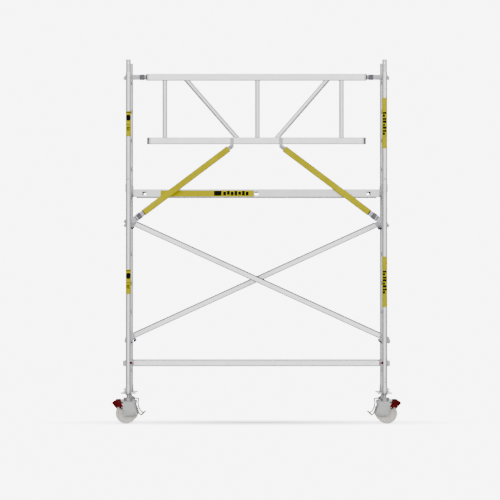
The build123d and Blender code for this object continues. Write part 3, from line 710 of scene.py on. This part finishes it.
def wheel(tag):
    """Nylon wheel with a recessed, ribbed web."""
    low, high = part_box(tag + "wheel")
    cx, cy, cz = ((a + b) / 2 for a, b in zip(low, high))
    radius = (high[2] - low[2]) / 2
    body = BODY_OF[tag + "wheel"]
    build = Build()
    half = [(0.00606, 0.028), (0.0165, 0.028), (0.018, 0.0268), (0.0262, 0.0265), (0.027, 0.0255),
            (0.0275, 0.0150), (0.0290, 0.0120), (0.0740, 0.0120), (0.0768, 0.0150), (0.0785, 0.0225),
            (0.0810, 0.0245), (0.0925, 0.0247), (0.0958, 0.0236), (0.0985, 0.0205), (0.0996, 0.0165),
            (radius, 0.0100), (radius, 0.0)]
    profile = half + [(r, -h) for r, h in reversed(half[:-1])]
    build.lathe(profile + [profile[0]], (cx, cy, cz), (0, 1, 0), 72)
    for k in range(8):
        t = math.tau * k / 8
        out = Vector((math.cos(t), 0, math.sin(t)))
        across = Vector((-math.sin(t), 0, math.cos(t)))
        for face in (-1, 1):
            loops = []
            for r, w, h in ((0.0265, 0.0042, 0.0215), (0.050, 0.0034, 0.0170), (0.0765, 0.0040, 0.0165)):
                loops.append([Vector((cx, cy, cz)) + out * r + across * u + Vector((0, face * v, 0))
                              for u, v in ((-w, 0.011), (-w * 0.7, h), (w * 0.7, h), (w, 0.011))])
            build.loft(loops)
    obj = build.piece(tag + "nylon_wheel", "nylon", body, 35)
    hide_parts(tag + "wheel")
    hub = Build()
    seal = [(0.0064, 0.0276), (0.0064, 0.0284), (0.0118, 0.0284), (0.0124, 0.0278), (0.0124, 0.0274)]
    for face in (-1, 1):
        hub.lathe(seal, (cx, cy, cz), (0, face, 0), 32)
    hub.piece(tag + "hub_seals", "black_plastic", body, 40)


def fork_details(tag, sx, sy):
    """Hex heads, washers and pressed rings on the axle, pin heads and the swivel seal."""
    axle = JOINT[tag + "wheel_spin"]["pos_m"]
    pin = JOINT[tag + "brake_press"]["pos_m"]
    body = BODY_OF[tag + "castor_fork"]
    ring = [(0.0250, 0.0333), (0.0262, 0.0347), (0.0298, 0.0347), (0.0310, 0.0333), (0.0250, 0.0333)]
    washer = [(0.0, 0.0336), (0.0128, 0.0336), (0.0132, 0.0342), (0.0128, 0.0348), (0.0, 0.0348)]
    head = [(0.0, 0.0419), (0.0030, 0.0417), (0.0058, 0.0409), (0.0062, 0.0402), (0.0, 0.0402)]
    build = Build()
    for face in (-1, 1):
        rows = []
        for h, r in ((0.0335, 0.0102), (0.0388, 0.0102), (0.0400, 0.0092)):
            rows.append([(axle[0] + r * math.cos(t), axle[1] + face * h, axle[2] + r * math.sin(t))
                         for t in (math.tau * k / 6 for k in range(6))])
        build.loft(rows)
        build.lathe(ring, axle, (0, face, 0), 48)
        build.lathe(washer, axle, (0, face, 0), 32)
        build.lathe(head, pin, (0, face, 0), 24)
    build.piece(tag + "axle_nuts", "zinc", body, 30)
    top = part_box(tag + "castor_fork")[1][2]
    lip = [(0.0350, top - 0.0135), (0.0414, top - 0.0130), (0.0418, top - 0.0100), (0.0412, top - 0.0085),
           (0.0350, top - 0.0085)]
    seal = Build()
    seal.lathe(lip, (sx * POST_X, sy * POST_Y, 0), (0, 0, 1), 48)
    seal.piece(tag + "swivel_seal", "black_plastic", body, 40)


for end, sy in ENDS.items():
    for side, sx in SIDES.items():
        tag = f"{end}_{side}_"
        spindle(tag)
        wheel(tag)
        fork_details(tag, sx, sy)

# ---- platform: screws and the hatch's handle ---------------------------------------------------
screws = Build()
for x in [deck_low[0] + 0.05 + 0.2235 * k for k in range(11)]:
    for y in (deck_low[1] + 0.014, deck_high[1] - 0.014):
        screws.lathe([(0.0, 0.0011), (0.0035, 0.0009), (0.0055, 0.0002), (0.0058, -0.0004)],
                     (x, y, deck_high[2]), (0, 0, 1), 16)
screws.piece("deck_screws", "zinc", "tower", 60)
grip_x = (hatch_low[0] + hatch_high[0]) / 2
grip_y = hatch_low[1] + 0.048
grip = Build()
outer = rounded_loop(0.126, 0.046, 0.017, 6)
inner = rounded_loop(0.1085, 0.0285, 0.011, 6)
loops = []
for loop, z in ((outer, 0.0), (outer, 0.0012), (inner, 0.0016), (inner, -0.0125)):
    loops.append([(grip_x + u, grip_y + v, deck_high[2] + z) for u, v in loop])
grip.grid(loops, False, True)
grip.piece("hatch_grip_trim", "black_plastic", BODY_OF["hatch"], 40)

# ---- floor, backdrop, light and camera ---------------------------------------------------------
BACKDROP = 7.0
DOME_R = 95
FLOOR_HALF = 60
SHADE_X, SHADE_Y, CONTACT_SHADOW_R = 2.3, 1.05, 0.16
CONTACTS = [JOINT[f"{end}_{side}_wheel_spin"]["pos_m"] for end in ENDS for side in SIDES]


def stage_object(name, verts, faces, material):
    """A surface that shows behind the object without lighting it."""
    mesh = bpy.data.meshes.new(name)
    mesh.from_pydata(verts, [], faces)
    mesh.materials.append(material)
    obj = bpy.data.objects.new(name, mesh)
    bpy.context.scene.collection.objects.link(obj)
    obj.visible_diffuse = False
    obj.visible_glossy = False
    obj.visible_transmission = False
    obj.visible_shadow = False


def backdrop_material():
    """A matt white surface that shines as a lit studio sweep does."""
    s = Shader("white_backdrop")
    speck = s.noise(s.coords.outputs["Object"], 3.0, 2.0)
    tone = s.mix(speck, (0.96, 0.96, 0.96), (0.98, 0.98, 0.98))
    constants = {"Emission Strength": BACKDROP, "Roughness": 0.9, "Specular IOR Level": 0.05}
    links = {"Base Color": tone, "Emission Color": tone}
    return s.output(s.add("ShaderNodeBsdfPrincipled", links, constants))


def floor_material():
    """A clear film that shades the backdrop below it with a painted shadow round the tower and at each
    wheel, so a leg slid out stays in view.
    """
    s = Shader("pale_floor")
    place = s.coords.outputs["Object"]
    oval = s.add("ShaderNodeVectorMath", {0: place}, {1: (1 / SHADE_X, 1 / SHADE_Y, 0.0)},
                 operation="MULTIPLY").outputs["Vector"]
    reach = s.add("ShaderNodeVectorMath", {0: oval}, operation="LENGTH").outputs["Value"]
    # painted shadow: a soft oval of shade on the floor round the tower
    tower_shadow = s.math("POWER", s.spread(reach, 0.0, 1.0, 1.0, 0.0), 1.4)
    shade = s.math("MULTIPLY", tower_shadow, 0.80)
    for contact in CONTACTS:
        spot = s.add("ShaderNodeVectorMath", {0: place}, {1: (contact[0], contact[1], 0.0)},
                     operation="DISTANCE").outputs["Value"]
        # painted contact shadow: a darker spot on the floor at this wheel
        contact_shadow = s.math("POWER", s.spread(spot, 0.0, CONTACT_SHADOW_R, 1.0, 0.0), 1.6)
        shade = s.math("ADD", shade, s.math("MULTIPLY", contact_shadow, 0.5), clamp=True)
    passing = s.math("POWER", 0.10, s.math("MULTIPLY", shade, 0.9))
    speck = s.spread(s.noise(place, 3.0, 2.0), 0.0, 1.0, 0.985, 1.0)
    return s.output(s.add("ShaderNodeBsdfTransparent", {"Color": s.math("MULTIPLY", passing, speck)}))


corners = [(-FLOOR_HALF, -FLOOR_HALF, 0), (FLOOR_HALF, -FLOOR_HALF, 0), (FLOOR_HALF, FLOOR_HALF, 0),
           (-FLOOR_HALF, FLOOR_HALF, 0)]
stage_object("floor", corners, [(0, 1, 2, 3)], floor_material())

dome = Build()
rows = []
for i in range(25):
    t = math.pi * (i / 24 - 0.5)
    flat = DOME_R * math.cos(t)
    rows.append([(flat * math.cos(a), flat * math.sin(a), DOME_R * math.sin(t))
                 for a in (math.tau * k / 48 for k in range(48))])
dome.grid(rows, False, True)
stage_object("backdrop", dome.verts, dome.faces, backdrop_material())

world = bpy.data.worlds.new("studio")
bpy.context.scene.world = world
world.use_nodes = True
tree = world.node_tree
where = tree.nodes.new("ShaderNodeTexCoord")
split = tree.nodes.new("ShaderNodeSeparateXYZ")
tree.links.new(where.outputs["Generated"], split.inputs["Vector"])


def fade(axis, start, end, before, after):
    """The world's brightness factor, easing from one value to another along an axis."""
    node = tree.nodes.new("ShaderNodeMapRange")
    node.interpolation_type = "SMOOTHSTEP"
    for key, value in (("From Min", start), ("From Max", end), ("To Min", before), ("To Max", after)):
        node.inputs[key].default_value = value
    tree.links.new(split.outputs[axis], node.inputs["Value"])
    return node.outputs["Result"]


front_lobe = fade("Y", -0.97, -0.70, 3.0, 0.50)
above = fade("Z", -0.45, -0.05, 0.22, 1.0)
product = tree.nodes.new("ShaderNodeMath")
product.operation = "MULTIPLY"
tree.links.new(front_lobe, product.inputs[0])
tree.links.new(above, product.inputs[1])
tree.links.new(product.outputs[0], tree.nodes["Background"].inputs["Strength"])
tree.nodes["Background"].inputs["Color"].default_value = (1.0, 1.0, 1.0, 1.0)


def area(name, place, aim, size, power):
    light = bpy.data.lights.new(name, "AREA")
    light.shape = "SQUARE"
    light.size = size
    light.energy = power
    obj = bpy.data.objects.new(name, light)
    obj.location = place
    obj.rotation_euler = (Vector(aim) - Vector(place)).to_track_quat("-Z", "Y").to_euler()
    bpy.context.scene.collection.objects.link(obj)


area("key", (-4.5, -6.5, 7.0), (0, 0, 1.6), 4.0, 200)
area("fill", (5.5, -5.0, 4.0), (0, 0, 1.5), 4.0, 100)
area("top", (0.0, 0.5, 8.0), (0, 0, 0), 5.0, 260)

camera = bpy.data.cameras.new("camera")
camera.sensor_width = 36.0
camera.lens = 293.8
camera.clip_end = 300.0
cam = bpy.data.objects.new("camera", camera)
cam.location = (0.0, -39.35, 1.20)
cam.rotation_euler = (math.radians(90.674), 0.0, math.radians(0.091))
bpy.context.scene.collection.objects.link(cam)
bpy.context.scene.camera = cam

bpy.context.view_layer.update()
